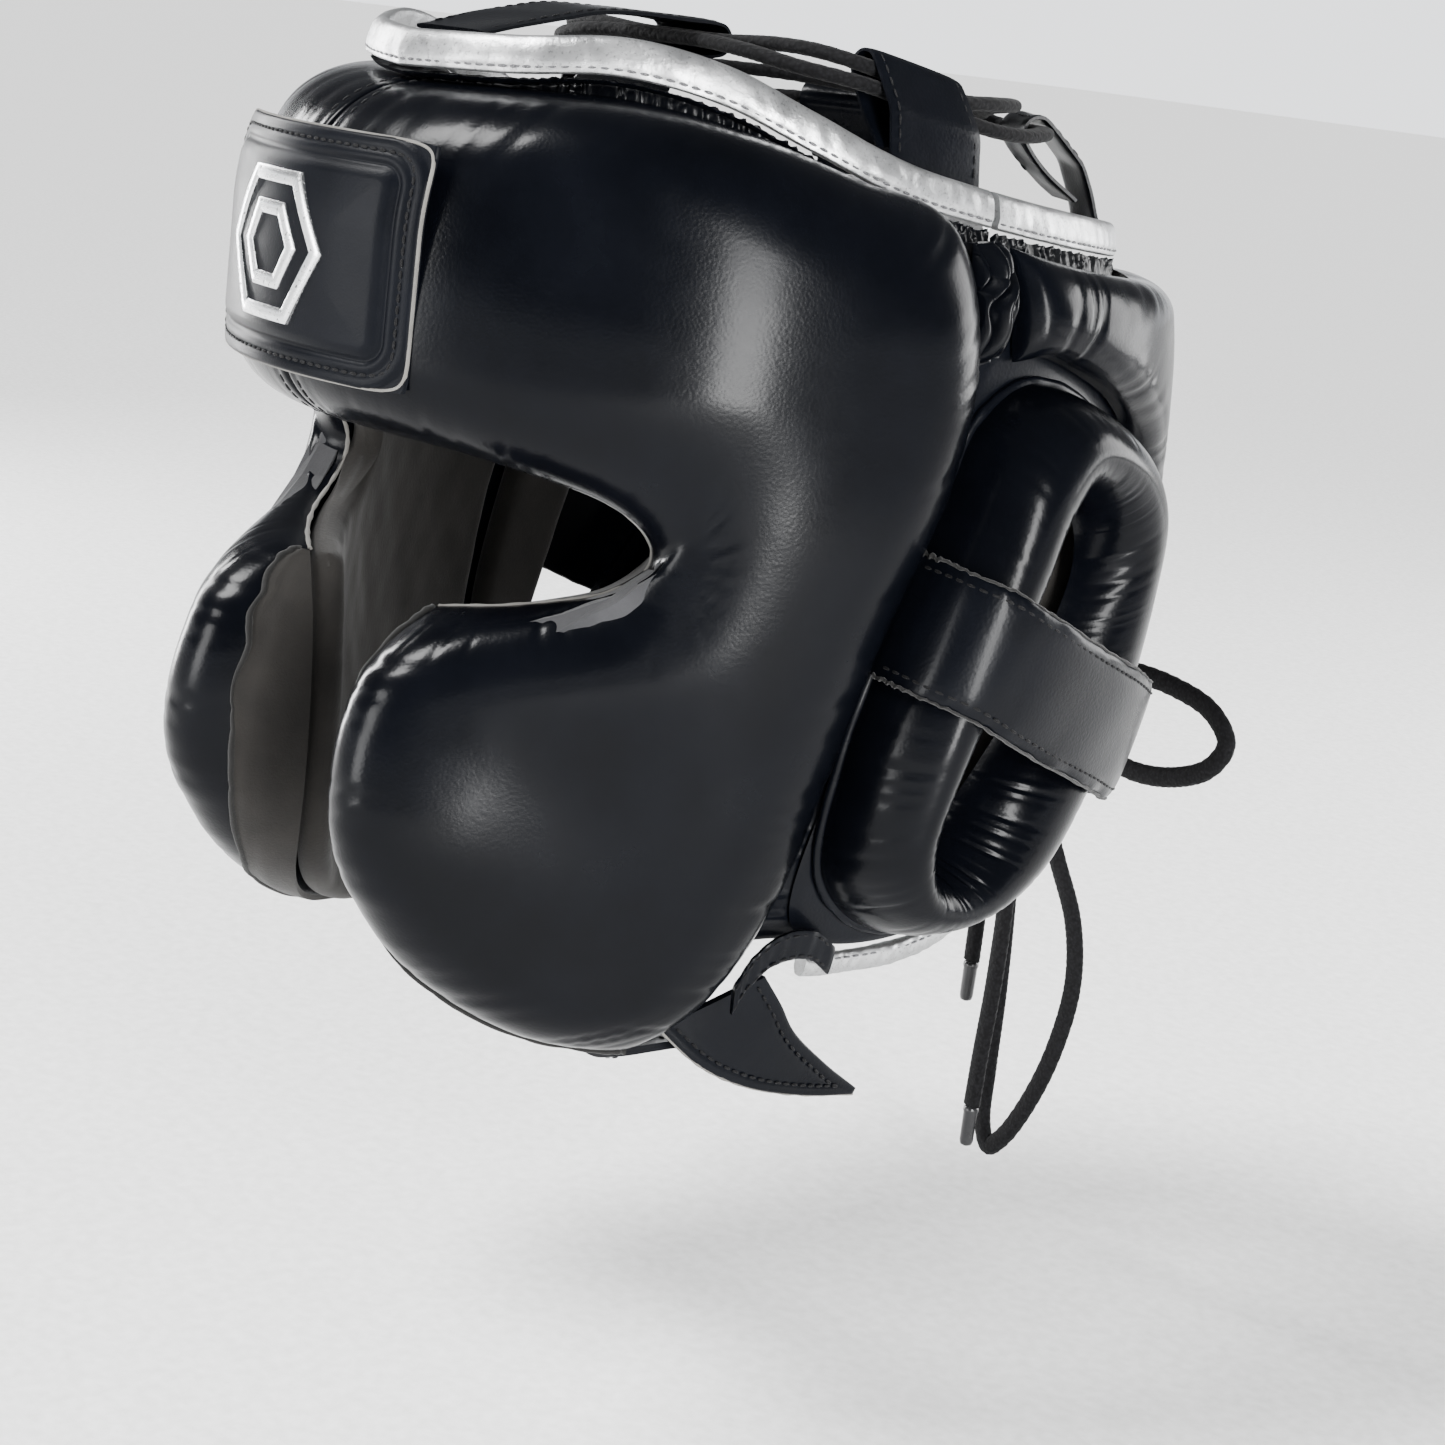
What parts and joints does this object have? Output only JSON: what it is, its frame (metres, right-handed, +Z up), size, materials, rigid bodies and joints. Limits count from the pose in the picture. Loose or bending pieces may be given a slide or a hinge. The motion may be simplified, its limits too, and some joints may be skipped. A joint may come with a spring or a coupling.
{
  "type": "boxing headgear",
  "caption": "Padded leather boxing headgear with cheek pads, ringed ear openings with straps, a laced crown and back, a front label patch and a chin strap.",
  "frame": {"origin": "middle of the head cavity, between the ear openings", "axes": "+Z up towards the crown, face opening towards -Y, wearer's left towards +X"},
  "size_m": [0.243, 0.2737, 0.3251],
  "materials": {
    "glossy_leather": "glossy full-grain leather",
    "soft_leather": "satin grained leather",
    "label_leather": "smooth satin leather patch",
    "suede_lining": "matte suede",
    "padding_foam": "matte closed-cell padding",
    "silver_binding": "metallic silver coated leather",
    "silver_foil": "silver foil print",
    "woven_lace": "woven flat-oval lace",
    "lace_tip_plastic": "black plastic tip",
    "hook_and_loop": "hook-and-loop fastener"
  },
  "bodies": {
    "shell": {"front_cover_left": "glossy_leather", "front_foam_left": "padding_foam", "front_lining_left": "suede_lining", "side_bellows_left": "soft_leather", "crown_tab_side_left": "soft_leather", "crown_lace_left": "woven_lace", "rear_lacing_left": "woven_lace", "front_cover_right": "glossy_leather", "front_foam_right": "padding_foam", "front_lining_right": "suede_lining", "side_bellows_right": "soft_leather", "crown_tab_side_right": "soft_leather", "crown_lace_right": "woven_lace", "rear_lacing_right": "woven_lace", "crown_band_front": "soft_leather", "crown_tab_front": "soft_leather", "chin_keeper": "soft_leather", "chin_anchor": "soft_leather", "crown_binding_front": "silver_binding", "label_plate": "label_leather", "label_emblem": "silver_foil", "chin_loop_patch": "hook_and_loop", "bow_knot": "woven_lace", "bow_loop": "woven_lace", "long_loop": "woven_lace", "lace_tail_outer": "woven_lace", "lace_tail_inner": "woven_lace", "lace_tip_outer": "lace_tip_plastic", "lace_tip_inner": "lace_tip_plastic"},
    "side_left": {"rear_cover_left": "glossy_leather", "rear_foam_left": "padding_foam", "flap_backing_left": "soft_leather", "flap_lining_left": "suede_lining", "ear_ring_cover_left": "glossy_leather", "ear_ring_foam_left": "padding_foam", "ear_strap_left": "soft_leather", "crown_band_left": "soft_leather", "crown_binding_left": "silver_binding", "lower_binding_left": "silver_binding", "crown_tab_rear_left": "soft_leather", "lace_loop_upper_left": "soft_leather", "lace_loop_middle_left": "soft_leather", "lace_loop_lower_left": "soft_leather"},
    "side_right": {"rear_cover_right": "glossy_leather", "rear_foam_right": "padding_foam", "flap_backing_right": "soft_leather", "flap_lining_right": "suede_lining", "ear_ring_cover_right": "glossy_leather", "ear_ring_foam_right": "padding_foam", "ear_strap_right": "soft_leather", "crown_band_right": "soft_leather", "crown_binding_right": "silver_binding", "lower_binding_right": "silver_binding", "crown_tab_rear_right": "soft_leather", "lace_loop_upper_right": "soft_leather", "lace_loop_middle_right": "soft_leather", "lace_loop_lower_right": "soft_leather"},
    "chin_strap_swing": {"chin_strap": "soft_leather", "chin_hook_patch": "hook_and_loop"},
    "chin_tab_flap": {"chin_tab": "soft_leather"}
  },
  "joints": [
    {"name": "side_left_hinge", "type": "hinge", "parent": "shell", "child": "side_left", "pos_m": [0.088, -0.012, 0.004], "axis": [-0.0637, -0.1863, -0.9804], "range_deg": [0, 6.5], "deforming": ["crown_lace_left", "rear_lacing_left"]},
    {"name": "side_right_hinge", "type": "hinge", "parent": "shell", "child": "side_right", "pos_m": [-0.088, -0.012, 0.004], "axis": [-0.0637, 0.1863, 0.9804], "range_deg": [0, 6.5], "deforming": ["crown_lace_right", "rear_lacing_right"]},
    {"name": "chin_strap_hinge", "type": "hinge", "parent": "shell", "child": "chin_strap_swing", "pos_m": [-0.0548, -0.05, -0.1274], "axis": [0, 1, 0], "range_deg": [0, 75]},
    {"name": "chin_tab_hinge", "type": "hinge", "parent": "chin_strap_swing", "child": "chin_tab_flap", "pos_m": [0.0697, -0.0395, -0.113], "axis": [-0.218, -0.8918, -0.3964], "range_deg": [-10, 60]}
  ]
}
